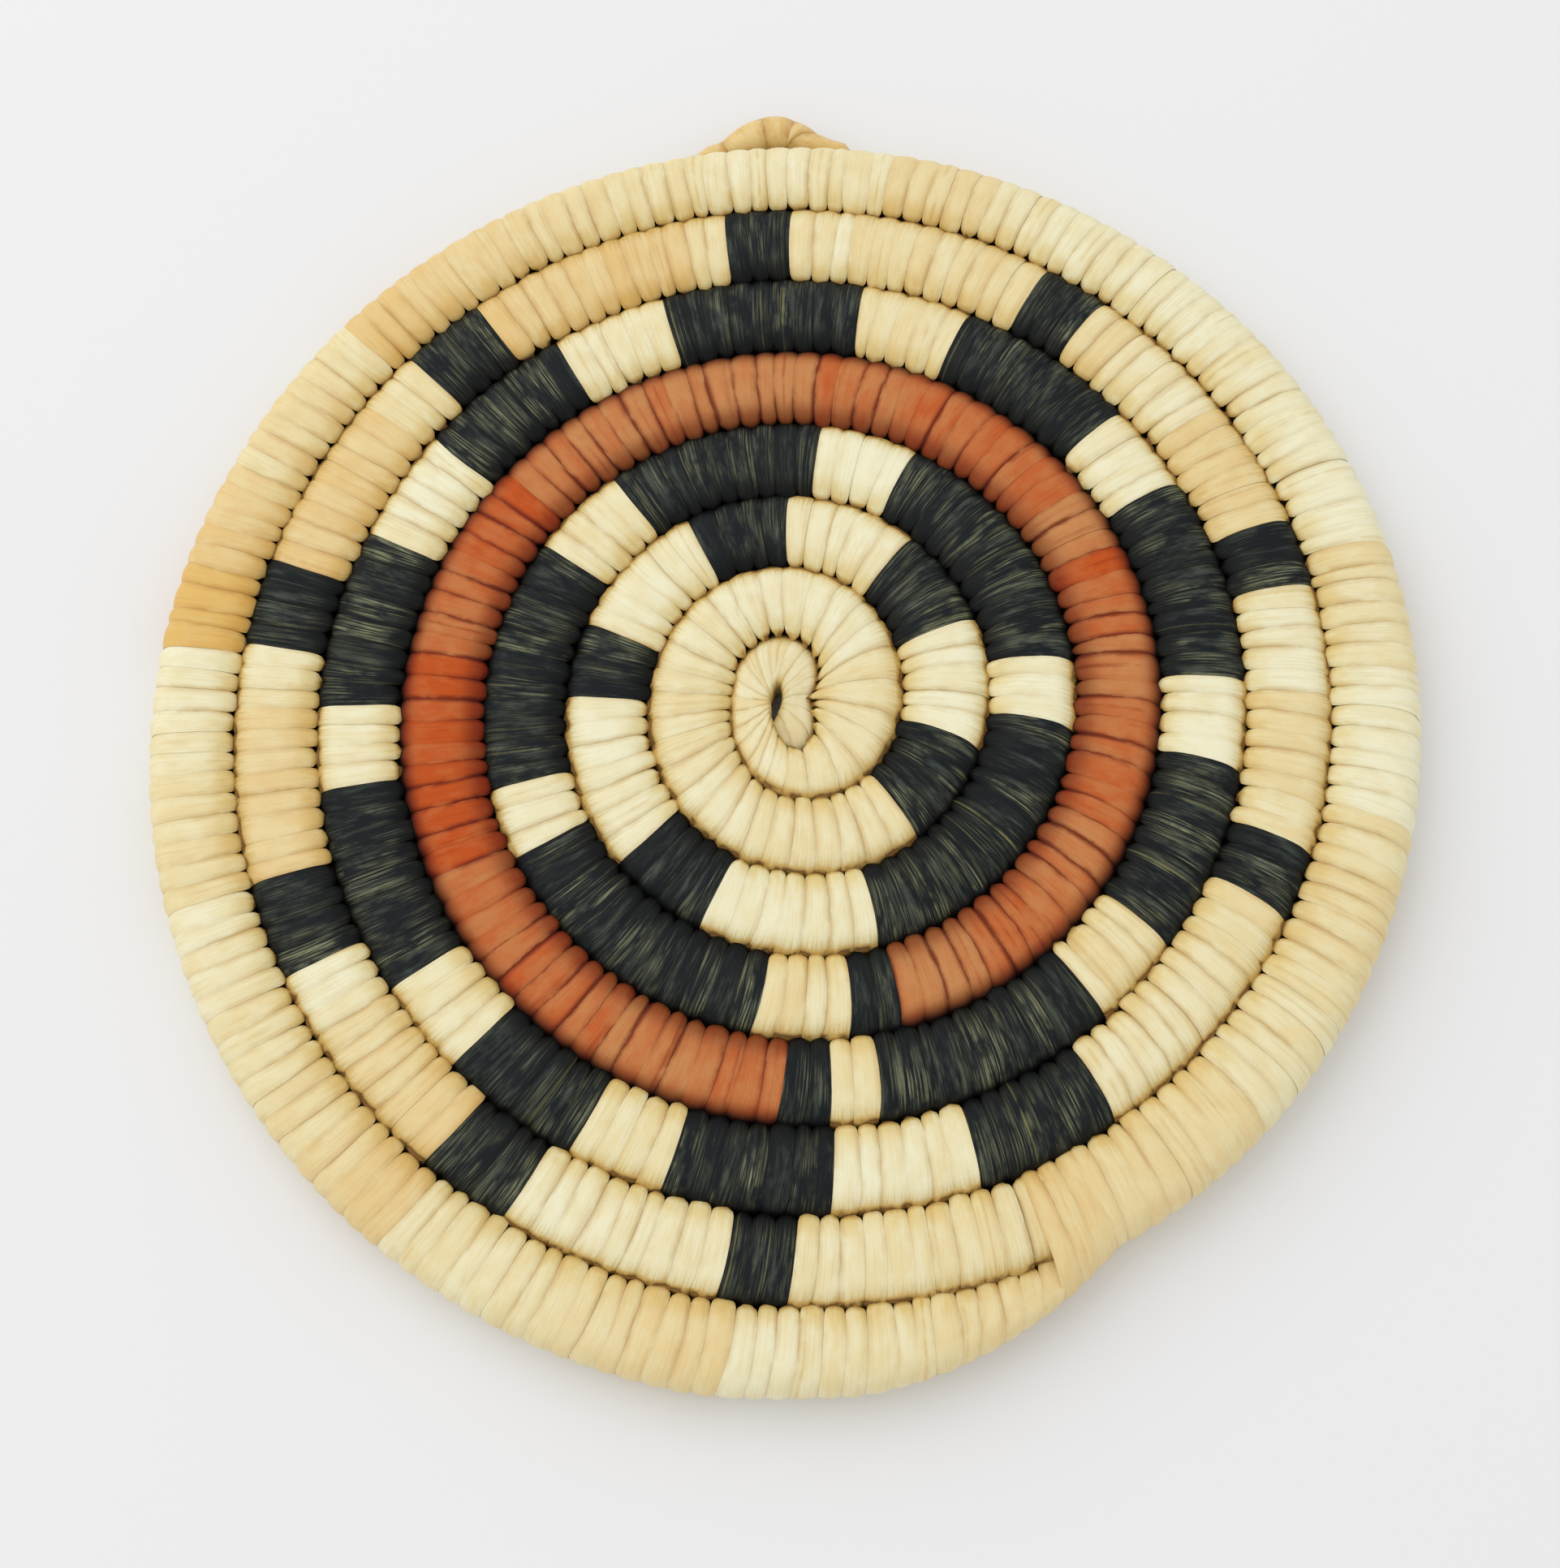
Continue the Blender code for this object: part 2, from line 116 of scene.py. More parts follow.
# Splints: the first stitch of each, and how golden it is at its first and its last stitch, from cream (0) to
# gold (1)
NATURAL_BATCHES = (
    (-1, 0.35, 0.3), (1, 0.2, 0.3), (16, 0.1, 0.2), (27, 0.3, 0.2), (33, 0.2, 0.3), (46, 0.1, 0.2),
    (64, 0.1, 0.1), (85, 0.1, 0.2), (103, 0.1, 0.1), (117, 0.0, 0.2), (130, 0.2, 0.3), (145, 0.1, 0.1),
    (160, 0.3, 0.5), (261, 0.3, 0.3), (285, 0.0, 0.1), (298, 0.1, 0.3), (310, 0.3, 0.4),
    (324, 0.2, 0.2), (336, 0.1, 0.2), (362, 0.2, 0.3), (383, 0.1, 0.3), (395, 0.2, 0.3),
    (401, 0.2, 0.5), (409, 0.3, 0.4), (416, 0.1, 0.2), (424, 0.4, 0.6), (430, 0.1, 0.5),
    (440, 0.4, 0.4), (449, 0.2, 0.4), (457, 0.7, 0.6), (464, 0.6, 0.8), (471, 0.2, 0.4),
    (474, 0.6, 0.7), (486, 0.1, 0.3), (489, 0.5, 0.6), (501, 0.1, 0.2), (504, 0.4, 0.7),
    (515, 0.1, 0.3), (536, 0.3, 0.5), (543, 0.5, 0.4), (548, 0.2, 0.4), (562, 0.0, 0.1),
    (569, 0.2, 0.4), (575, 0.0, 0.2), (586, 0.1, 0.2), (600, 0.4, 0.4), (605, 0.3, 0.2),
    (614, 0.3, 0.5), (625, 0.5, 0.8), (633, 0.3, 0.5), (640, 0.4, 0.8), (646, 1.0, 1.0),
    (650, 0.1, 0.4), (662, 0.1, 0.6), (679, 0.2, 0.5), (694, 0.1, 0.6),
)
# The same for the red splints, from pinkish tan (0) to deep orange red (1)
RED_BATCHES = (
    (166, 0.1, 0.2), (169, 0.4, 0.5), (179, 0.7, 0.5), (182, 0.3, 0.4), (189, 0.6, 0.6), (191, 0.2, 0.2),
    (194, 0.6, 0.3), (207, 0.0, 0.1), (214, 0.2, 0.3), (222, 0.7, 0.5), (231, 0.9, 1.0), (241, 0.4, 0.5),
    (251, 0.2, 0.3), (255, 0.5, 0.8),
)

# A stitch's band: its section round the coil, its reach into the seam, its taper there and its crown across
ROUND_POINTS = 40
SLIT_POWER = 7.0
INNER_POWER = 3.0
SEWN_POWER = 3.4
FREE_POWER = 2.7
UNDER_POWER = 2.4
OUTER_LAP = 0.0010
TIP_REACH = 0.0015
TIP_HIDDEN = 0.0007
TIP_TAPER = 0.0014
TIP_WIDTH_LEFT_SHARE = 0.5
ACROSS_SHARES = (-1.0, -0.86, -0.5, 0.0, 0.5, 0.86, 1.0)
CROWN = 0.00017
CROWN_SHARES = {"natural": 1, "black": 1.1, "red": 1.4}
SEAM_CROWN_SHARE = 0.9
SEAM_CROWN_START_SHARE = 0.6
CROWN_POWER = 2.2
SHARP_ANGLE = math.radians(50)
BAND_THICKNESS = 0.0007
BAND_INSIDE_SHARES = (0.7, -0.7)
SKIN_INSET = 0.00008
SHORTEST_HALF = 0.0004

# How the sewing wanders: the slant of the stitches round the plaque, and each stitch's own changes
SLANT = 0.00045
SLANT_SWING = 0.00030
SLANT_AXIS = math.radians(-45)
EDGE_SCATTER = 0.07
SLANT_SCATTER = 0.045
BOW = 0.10
BOW_SCATTER = 0.05
LIFT_SCATTER = 0.00003
TILT_SCATTER = 0.00003
REACH_SCATTER = 0.00018
# Where the seam's painted shade starts, measured from a turn's outer edge, and over how far it deepens; and
# where it starts on a stitch's tapered tip
HOLE_SHADE_START = -0.0008
HOLE_SHADE_FADE = 0.0013
TIP_SHADE_START_SHARE = 0.45
FAINTEST_GROOVE = 0.1
# Where the painted shade near the grooves between stitches starts, and how much of it fades on the free side
# of the last turn
GROOVE_SHADE_START_SHARE = 0.7
FREE_GROOVE_SHADE_FADE_SHARE = 0.7
FOLD_SCATTER = 0.35
FOLD_STRENGTH_SHARES = (-0.6, 1.0)
GROOVE_LEAN_SHARE = 0.25
# Where the painted shade towards the inner and the outer end of each stitch starts and is full, as shares of
# its half width
INNER_SHADE_SHARES = (0.3, 1.0)
OUTER_SHADE_SHARES = (0.55, 0.97)

# The last stitches bind the thinned tip: they go round the turn before too, whose own stitches lie under
# them. The very last one laps over the next one of that turn by a part of a stitch
BINDING_STITCHES = 3
BINDING_LAP = 0.35
BOUND_SINK = 0.0004

# Tones: how far a stitch's own lies from its splint's. The black splints share one tone, and no stitch of
# theirs has less than the least
TONE_SCATTER = {"natural": 0.04, "red": 0.14, "black": 0.35}
BLACK_TONE = 0.5
LEAST_BLACK_TONE = 0.1

SEED = 11

# The grass foundation
FOUNDATION_DEPTH = 0.0012
FOUNDATION_INSET = 0.5
FOUNDATION_STEP = 0.5
FOUNDATION_SIDES = 20
BLADE_DEPTH_SHARE = 0.06

# The hanging loop, a little closer to the rim than the solid's. Its wrap's edges are shares along it, each
# with its slant
LOOP_ANGLE = math.radians(92.9)
LOOP_SPAN = 0.0195
LOOP_STAND_OFF = 0.00135
LOOP_DIAMETER = 0.0055
LOOP_FOOT_DIAMETER = 0.0028
LOOP_MID_HEIGHT = 0.0032
SEAT_GAP = 0.0003
LOOP_EDGES = ((-1.14, 0.0), (-0.44, -0.17), (-0.264, 0.0), (0.134, 0.0), (0.73, 0.03), (1.14, 0.0))
LOOP_CROWN = 0.00022
# Where the painted shade near the grooves between the loop's bands starts
LOOP_GROOVE_SHADE_START_SHARE = 0.74
LOOP_SCATTER_SHARE = 0.03
LOOP_THICKNESS = 0.0006
LOOP_SINK = 0.012
LOOP_PROBE = 0.02
LOOP_BUNDLE_END = 1.1
LOOP_BUNDLE_STEPS = 40

# The photograph's camera: focal length and lens centre in its pixels, and its place above the plaque
PHOTO_WIDTH = 1922
PHOTO_HEIGHT = 1932
FOCAL_PIXELS = 3000
LENS_CENTRE_PIXELS = (985.9, 868.3)
SENSOR_SIZE_MM = 36
CAMERA_TILT = math.radians(17.26)
CAMERA_LEAN = math.radians(1.02)
CAMERA_DISTANCE = 0.3366
SEAM_HEIGHT = 0.00625


def srgb(red, green, blue):
    """Linear colour of an 8-bit sRGB colour."""
    channels = []
    for value in (red, green, blue):
        share = value / 255
        channels.append(share / 12.92 if share <= 0.04045 else ((share + 0.055) / 1.055) ** 2.4)
    return (*channels, 1)


CREAM = srgb(243, 238, 203)
STRAW = srgb(236, 219, 166)
TAN = srgb(231, 200, 136)
GOLDEN = srgb(226, 182, 94)
# Painted shade in the grooves between stitches, on the natural stitches and the loop
NATURAL_GROOVE_SHADE = (0.66, 0.52, 0.34, 1)
# Painted shade towards the stitches' inner and outer ends, where the coil rounds down into the seams
NATURAL_INNER_SHADE = (0.88, 0.78, 0.52, 1)
NATURAL_OUTER_SHADE = (0.80, 0.70, 0.44, 1)
NATURAL_FOLD = (0.84, 0.74, 0.58, 1)
# Painted shade in the seam between turns, from its edge to the holes between the stitches' tips
NATURAL_SEAM_EDGE_SHADE = srgb(206, 170, 94)
NATURAL_SEAM_SHADE = srgb(112, 78, 32)
NATURAL_HOLE_SHADE = srgb(168, 126, 66)
BLACK_SPLINT = srgb(17, 23, 26)
# Faded fibre on the black, partly painted sheen that lightens the stitches
BLACK_FADED_AND_SHEEN = srgb(140, 143, 108)
# Painted shade in the grooves between stitches
BLACK_GROOVE_SHADE = (0.42, 0.40, 0.36, 1)
BLACK_SCUFF = srgb(66, 73, 66)
BLACK_FOLD = srgb(132, 128, 78)
# Painted shade towards both ends of the stitches
BLACK_ENDS_SHADE = (0.50, 0.47, 0.40, 1)
# Painted shade in the seam between turns
BLACK_SEAM_SHADE = srgb(10, 9, 9)
RED_PALE = srgb(202, 137, 82)
RED_DEEP = srgb(194, 81, 18)
# Painted shade in the grooves between stitches
RED_GROOVE_SHADE = (0.36, 0.19, 0.11, 1)
RED_FOLD = (0.62, 0.42, 0.30, 1)
# Painted shade towards both ends of the stitches
RED_ENDS_SHADE = (0.44, 0.29, 0.18, 1)
# Painted shade in the seam between turns
RED_SEAM_SHADE = srgb(38, 14, 8)
GRASS = srgb(150, 104, 50)
GRASS_DARK = srgb(78, 50, 22)
FIBRE_SHADE = (0.80, 0.70, 0.54, 1)
LOOP_TAN = srgb(233, 204, 142)
LOOP_GOLD = srgb(221, 183, 108)
FLOOR = srgb(238, 238, 239)
FLOOR_HALF = 4

# How fast each pattern's noise runs across the splint and along it, in metres, and by the stitch's own number
STREAK_SCALES = (5200, 130, 900)
FINE_SCALES = (14000, 500, 1700)
MOTTLE_SCALES = (500, 260, 700)
SCUFF_SCALES = (800, 150, 1300)
BLADE_SCALES = (5000, 60, 1)

# The range of a noise, or of another number, over which its pattern comes up
STREAK_RANGE = (0.5, 0.72)
RED_STREAK_RANGE = (0.5, 0.75)
OUTER_STREAK_RANGE = (0.4, 0.6)
MOTTLE_RANGE = (0.3, 0.6)
TONE_MOTTLE_RANGE = (0.3, 0.7)
# Over which the mottle lets the seam's painted shade come up
SEAM_SHADE_MOTTLE_RANGE = (0.36, 0.6)
LOOP_MOTTLE_RANGE = (0.35, 0.65)
SCUFF_RANGE = (0.48, 0.74)
# Over which the black's faded fibres and painted sheen come up
FADING_AND_SHEEN_STREAKS = (0.44, 0.68)
FADING_AND_SHEEN_MOTTLE = (0.36, 0.64)
BLADE_RANGE = (0.35, 0.65)
FOLD_RANGE = (0.3, 0)
BLACK_FOLD_RANGE = (0.16, 0)
# Over which the painted shade comes up in the red's grooves and at the seam's edge
RED_GROOVE_SHADE_RANGE = (0, 0.6)
SEAM_SHADE_EDGE_RANGE = (0, 0.35)

# How strongly the patterns show, and the least that the mottle and the streaks leave of the others
NATURAL_STREAKS = 0.4
RED_STREAKS = 0.7
LOOP_STREAKS = 0.45
NATURAL_TONE_SWING = 0.09
RED_TONE_SWING = 0.2
# How much less faded fibre and painted sheen the black has at its stitches' inner ends
INNER_NO_SHEEN_OR_FADING_SHARE = 0.7
# How much of the painted shade at the outer end the black takes
BLACK_OUTER_SHADE_SHARE = 0.5
# The least of the painted shade in the grooves, towards the stitches' ends and in the seam, that the mottle
# and the streaks leave
LEAST_GROOVE_SHADE = 0.3
LEAST_INNER_SHADE = 0.5
LEAST_OUTER_SHADE = 0.3
LEAST_SEAM_SHADE = 0.4

# The surfaces: how rough they are, how strongly they shine and how deep their bumps are
ROUGHNESS = {"natural": 0.5, "black": 0.5, "red": 0.6, "loop": 0.5, "grass": 0.8, "floor": 0.9}
SHINE = {"natural": 0.5, "black": 0.15, "red": 0.2, "loop": 0.5, "grass": 0.5, "floor": 0.1}
NATURAL_BUMP = 0.3
DYED_BUMP = 0.4
GRASS_BUMP = 0.5
BUMP_DISTANCE = 0.0002
GRASS_BUMP_DISTANCE = 0.0003

# Soft light from all round, and a window's from the upper left
WORLD_STRENGTH = 0.78
WINDOW_PLACE = (-0.9, 0.68, 1.2)
WINDOW_SIZE = 1.8
WINDOW_POWER = 11


# The spiral


def smooth_step(share):
    share = np.clip(share, 0, 1)
    return share * share * (3 - 2 * share)


def mix(a, b, share):
    return a + (b - a) * share


def direction(angle):
    return np.stack((np.cos(angle), np.sin(angle)), -1)


def seam(angle, slit=SLIT, leave_angle=SLIT_LEAVE_ANGLE, left_angle=SLIT_LEFT_ANGLE):
    """Points of the groove between two turns, at running angles that count the turns."""
    turns = angle / TURN
    fade = np.exp((SETTLE_FROM_TURNS - turns) / SETTLE_TURNS)
    oval = OVAL_START * np.cos(2 * (angle - OVAL_AXIS))
    radius = START_RADIUS + COIL_PITCH * turns + (START_SWELL + oval) * fade
    left = smooth_step((angle - leave_angle) / (left_angle - leave_angle))
    length, width, axis, shift = slit
    long, short = length / 2, width / 2
    slit_radius = long * short / np.hypot(short * np.cos(angle - axis), long * np.sin(angle - axis))
    radius = mix(slit_radius, radius, left)
    centre = np.multiply.outer(fade, START_SHIFT) + np.multiply.outer(turns / RIM_TURNS, RIM_SHIFT)
    centre += np.multiply.outer(1 - left, shift)
    return centre + direction(angle) * radius[..., None]


def measure_coil():
    """Running angles at equal small steps, and the length along the coil's middle from its start to each."""
    last = START_ANGLE + TURN * (RIM_TURNS + 1)
    angles = np.arange(START_ANGLE - LEAD_IN_ANGLE, last, MEASURE_STEP_ANGLE)
    middle = (seam(angles) + seam(angles + TURN)) / 2
    steps = np.linalg.norm(np.diff(middle, axis=0), axis=1)
    lengths = np.concatenate(([0], np.cumsum(steps)))
    return angles, lengths - np.interp(START_ANGLE, angles, lengths)


COIL_ANGLES, COIL_LENGTHS = measure_coil()


def angle_at(stitches):
    """Running angles after so many stitches from the start."""
    return np.interp(stitches * STITCH_WIDTH, COIL_LENGTHS, COIL_ANGLES)


TIP_ANGLE = angle_at(TOTAL_STITCHES)


def run_of(stitches):
    """Number of the colour run that each place along the coil belongs to."""
    return np.searchsorted(RUN_ENDS, stitches, side="right")


def sewn_seam(angle):
    """The seam as photographed round the start, and the solids' from there on."""
    reach = SEWN_REACH * np.exp(-(((angle - SEWN_REACH_ANGLE) / SEWN_REACH_SPREAD) ** 2))
    return seam(angle, SEWN_SLIT, SEWN_LEAVE_ANGLE, SEWN_LEFT_ANGLE) + direction(angle) * reach[..., None]


def bulge(angle):
    """How far the coil stands out past the seam line on the free side of the last turn."""
    free = angle - TIP_ANGLE + TURN
    rim = RIM_BULGE + RIM_BULGE_SWING * np.cos(angle - RIM_BULGE_AXIS) + RIM_BULGE_OVAL * np.cos(2 * angle)
    rim += START_BULGE * (1 - smooth_step(free / BULGE_SETTLE_ANGLE))
    left = TIP_ANGLE - angle - BULGE_END_ANGLE
    return rim * smooth_step(free / BULGE_GROW_ANGLE + 1) * smooth_step(left / BULGE_FADE_ANGLE)


def coil_at(stitches, binding=False):
    """The coil at these stitches, for a binding stitch with the turn before: middles, unit vectors outwards,
    half widths, half heights and running angles."""
    angle = angle_at(stitches)
    inner, outer = sewn_seam(angle), sewn_seam(angle + TURN)
    across = outer - inner
    pitch = np.linalg.norm(across, axis=-1)
    outwards = across / pitch[..., None]
    tip = np.clip((stitches - TOTAL_STITCHES) / TIP_STITCHES + 1, 0, 1) ** TIP_CURVE
    half = (pitch - TURN_GAP + bulge(angle)) / 2 * mix(1, TIP_WIDTH_SHARE, tip)
    height = mix(START_HEIGHT, COIL_HEIGHT, smooth_step((angle - START_ANGLE) / TURN))
    half_before = np.where(binding, np.linalg.norm(inner - sewn_seam(angle - TURN), axis=-1) / 2, 0)
    flat = inner + outwards * (TURN_GAP / 2 + half - half_before)[..., None] + np.array(COIL_CENTRE)
    middle = np.concatenate((flat, (height / 2)[..., None]), -1)
    outwards = np.concatenate((outwards, np.zeros_like(half)[..., None]), -1)
    thinned = np.where(binding, height, height * mix(1, TIP_HEIGHT_SHARE, tip))
    return middle, outwards, half + half_before, thinned / 2, angle


# Meshes


def make_object(name, points, faces, attributes, material):
    """A mesh object, smooth but for its sharp edges, whose points carry numbers for its material."""
    mesh = bpy.data.meshes.new(name)
    mesh.from_pydata(points.reshape(-1, 3).tolist(), [], faces.tolist())
    for title, values in attributes.items():
        if values.ndim == points.ndim:
            mesh.attributes.new(title, "FLOAT_VECTOR", "POINT").data.foreach_set("vector", values.ravel())
        else:
            mesh.attributes.new(title, "FLOAT", "POINT").data.foreach_set("value", values.ravel())
    mesh.shade_smooth()
    mesh.set_sharp_from_angle(angle=SHARP_ANGLE)
    mesh.materials.append(material)
    piece = bpy.data.objects.new(name, mesh)
    bpy.context.scene.collection.objects.link(piece)
    return piece


def band_faces(bands, along, across):
    """Faces of closed bands, each a grid of points that closes on itself both ways."""
    band, i, j = np.meshgrid(np.arange(bands), np.arange(along), np.arange(across), indexing="ij")
    after, beside = (i + 1) % along, (j + 1) % across

    def corner(row, column):
        return (band * along + row) * across + column

    corners = corner(i, j), corner(after, j), corner(after, beside), corner(i, beside)
    return np.stack(corners, -1).reshape(-1, 4)


def tube_faces(along, around):
    """Faces of an open tube, a grid of points that closes on itself round but not along."""
    i, j = np.meshgrid(np.arange(along - 1), np.arange(around), indexing="ij")
    beside = (j + 1) % around
    here, there = i * around, (i + 1) * around
    return np.stack((here + j, here + beside, there + beside, there + j), -1).reshape(-1, 4)


def splint_tones(batches, stitches):
    """The tone of each stitch, on the way from its splint's first tone to its last."""
    starts, first_tones, last_tones = np.array(batches).T
    ends = np.append(starts[1:], TOTAL_STITCHES)
    splint = np.searchsorted(starts, stitches, side="right") - 1
    gone = (stitches - starts[splint]) / (ends - starts)[splint]
    return mix(first_tones[splint], last_tones[splint], gone)


# The stitches


def section(inner_power, outer_power):
    """Sections of the coil for these powers of its sides: places across and up, from -1 to 1, and normals."""
    turn = TURN * (np.arange(ROUND_POINTS) + 0.5) / ROUND_POINTS
    cos, sin = np.cos(turn), np.sin(turn)
    power = np.where(sin < 0, UNDER_POWER, np.where(cos < 0, inner_power[:, None], outer_power[:, None]))
    across = np.sign(cos) * np.abs(cos) ** (2 / power)
    up = np.sign(sin) * np.abs(sin) ** (2 / power)
    normal_across = np.sign(cos) * np.abs(cos) ** (2 - 2 / power)
    normal_up = np.sign(sin) * np.abs(sin) ** (2 - 2 / power)
    size = np.hypot(normal_across, normal_up)
    return across, up, normal_across / size, normal_up / size


def groove_stations():
    """Where the grooves between the stitches lie, in whole stitches but at the round start."""
    start = np.arange(-LEAD_IN_STITCHES, HALF_STITCHES_UNTIL, 0.5)
    return np.concatenate((start, np.arange(HALF_STITCHES_UNTIL, TOTAL_STITCHES + 1.0)))


def shape_stitches():
    """Points and material numbers of all the stitches, as arrays of stitches by points round by points
    across, and the place of each stitch along the coil."""
    draw = np.random.default_rng(SEED)
    groove = groove_stations()
    place = (groove[:-1] + groove[1:]) / 2
    size = np.diff(groove)
    count = len(place)
    binding = place > TOTAL_STITCHES - BINDING_STITCHES
    _, _, half, _, angle = coil_at(place, binding)
    sewn = angle + TURN < TIP_ANGLE
    past_slit = smooth_step((angle - SEWN_LEAVE_ANGLE) / (SEWN_LEFT_ANGLE - SEWN_LEAVE_ANGLE))
    powers = mix(SLIT_POWER, INNER_POWER, past_slit), np.where(sewn, SEWN_POWER, FREE_POWER)
    across, up, normal_across, normal_up = section(*powers)

    # Grooves between the stitches: each is a line across the coil that its two stitches share
    slant = (SLANT + SLANT_SWING * np.cos(angle_at(groove) - SLANT_AXIS)) / STITCH_WIDTH
    slant += draw.normal(0, SLANT_SCATTER, count + 1)
    bow = BOW + draw.normal(0, BOW_SCATTER, count + 1)
    sizes = np.append(size, 1)
    groove += draw.normal(0, EDGE_SCATTER, count + 1) * sizes
    groove[-1] = TOTAL_STITCHES + BINDING_LAP
    strength = draw.uniform(FAINTEST_GROOVE, 1, count + 1)
    number = np.arange(count)

    def line(which):
        return groove[which, None] - slant[which, None] * across + bow[which, None] * (1 - across**2)

    def groove_strength(which):
        return np.clip(strength[which, None] - GROOVE_LEAN_SHARE * across, FAINTEST_GROOVE, 1)

    # The splint over the middle of the coil, then the width that its tip has left in the seam
    reach = (TIP_REACH + draw.normal(0, REACH_SCATTER, count)) * past_slit
    lap = np.where(sewn, OUTER_LAP, 0)
    side = np.where(across < 0, (half + reach)[:, None], (half + lap)[:, None]) * across
    into_taper = np.clip(1 - ((half + reach)[:, None] + side - TIP_HIDDEN) / TIP_TAPER, 0, 1)
    narrow = mix(TIP_WIDTH_LEFT_SHARE, 1, np.sqrt(1 - into_taper**2))
    narrow = mix(1, narrow, past_slit[:, None])

    # Across the band: the crowned outside, then the plain inside
    shares = np.array(ACROSS_SHARES + BAND_INSIDE_SHARES)
    deep = np.where(shares < 0, groove_strength(number)[..., None], groove_strength(number + 1)[..., None])
    into_seam = (np.abs(side) / half[:, None] - SEAM_CROWN_START_SHARE) / (1 - SEAM_CROWN_START_SHARE)
    into_seam = smooth_step(into_seam)[:, :, None]
    crown_shares = np.array([CROWN_SHARES[colour] for colour, _ in STITCH_CHART])
    crown = CROWN * crown_shares[run_of(place)] * size
    drop = -crown[:, None, None] * np.abs(shares) ** CROWN_POWER * mix(deep, 1 + SEAM_CROWN_SHARE, into_seam)
    drop[..., len(ACROSS_SHARES) :] = -BAND_THICKNESS
    where = (1 + shares * narrow[:, :, None]) / 2
    station = mix(line(number)[..., None], line(number + 1)[..., None], where)
    station = np.clip(station, -LEAD_IN_STITCHES, TOTAL_STITCHES + BINDING_LAP)
    middle, outwards, width, height, angles = coil_at(station, binding[:, None, None])

    lift = draw.normal(0, LIFT_SCATTER, count)[:, None]
    lift = lift + draw.normal(0, TILT_SCATTER, count)[:, None] * shares
    bound = sewn & (angle + TURN > angle_at(TOTAL_STITCHES - BINDING_STITCHES - 0.5))
    lift = np.minimum(lift, 0) - np.where(bound, BOUND_SINK, 0)[:, None]
    offset = (drop + lift[:, None, :]) * np.minimum(1, width / (COIL_PITCH / 2)) - SKIN_INSET
    sideways = side[:, :, None] * (width / half[:, None, None]) + normal_across[:, :, None] * offset
    upwards = up[:, :, None] * height + normal_up[:, :, None] * offset
    points = middle + outwards * sideways[..., None]
    points[..., 2] += upwards

    # Material numbers: the place on the splint, how near its ends and how deep in the seam for the painted
    # shade there, how near the groove for the painted shade along it, and the fold along the splint
    steps = np.hypot(np.diff(across, prepend=across[:, -1:]), np.diff(up, prepend=up[:, -1:]))
    splint = np.empty(points.shape)
    splint[..., 0] = shares * narrow[:, :, None] * size[:, None, None] * STITCH_WIDTH / 2
    splint[..., 1] = (np.cumsum(steps, axis=1) * COIL_PITCH / 2)[:, :, None]
    splint[..., 2] = draw.uniform(0, 1, count)[:, None, None]
    free = (angles + TURN >= TIP_ANGLE) & (side[:, :, None] > 0)
    outwards = (side / half[:, None])[:, :, None]
    from_inner, to_inner = INNER_SHADE_SHARES
    from_outer, to_outer = OUTER_SHADE_SHARES
    # Painted shade towards the inner and outer ends, none at the outer end on the free side of the last turn
    ends = np.empty(points.shape)
    ends[..., 0] = smooth_step((-outwards - from_inner) / (to_inner - from_inner))
    ends[..., 1] = np.where(free, 0, smooth_step((outwards - from_outer) / (to_outer - from_outer)))
    # The seam's painted shade: past the turn's outer edge into the holes, and on the stitches' tapered tips
    hole_shade = np.where(free, 0, smooth_step((side - half[:, None] - HOLE_SHADE_START) / HOLE_SHADE_FADE)[:, :, None])
    tip = smooth_step((into_taper - TIP_SHADE_START_SHARE) / (1 - TIP_SHADE_START_SHARE))
    ends[..., 2] = np.maximum(hole_shade, tip[:, :, None] * past_slit[:, None, None])
    # Painted shade near the grooves between stitches, fainter on the free side of the last turn
    near = smooth_step((np.abs(shares) - GROOVE_SHADE_START_SHARE) / (1 - GROOVE_SHADE_START_SHARE)) * deep
    near = near * np.where(free, 1 - FREE_GROOVE_SHADE_FADE_SHARE * smooth_step(outwards), 1)
    fold = np.zeros(points.shape)
    fold[..., 0] = np.abs(shares - draw.normal(0, FOLD_SCATTER, (count, 1, 1)))
    fold[..., 1] = np.clip(draw.uniform(*FOLD_STRENGTH_SHARES, (count, 1, 1)), 0, 1)
    return points, {"splint": splint, "ends": ends, "groove": near, "fold": fold}, place


def stitch_tones(colour, stitches, tone_noise):
    """Tone of each stitch from 0 to 1, from its splint and a little of its own."""
    own = TONE_SCATTER[colour] * tone_noise
    if colour == "natural":
        return np.clip(splint_tones(NATURAL_BATCHES, stitches) + own, 0, 1)
    if colour == "red":
        return np.clip(splint_tones(RED_BATCHES, stitches) + own, 0, 1)
    return np.clip(BLACK_TONE + own, LEAST_BLACK_TONE, 1)


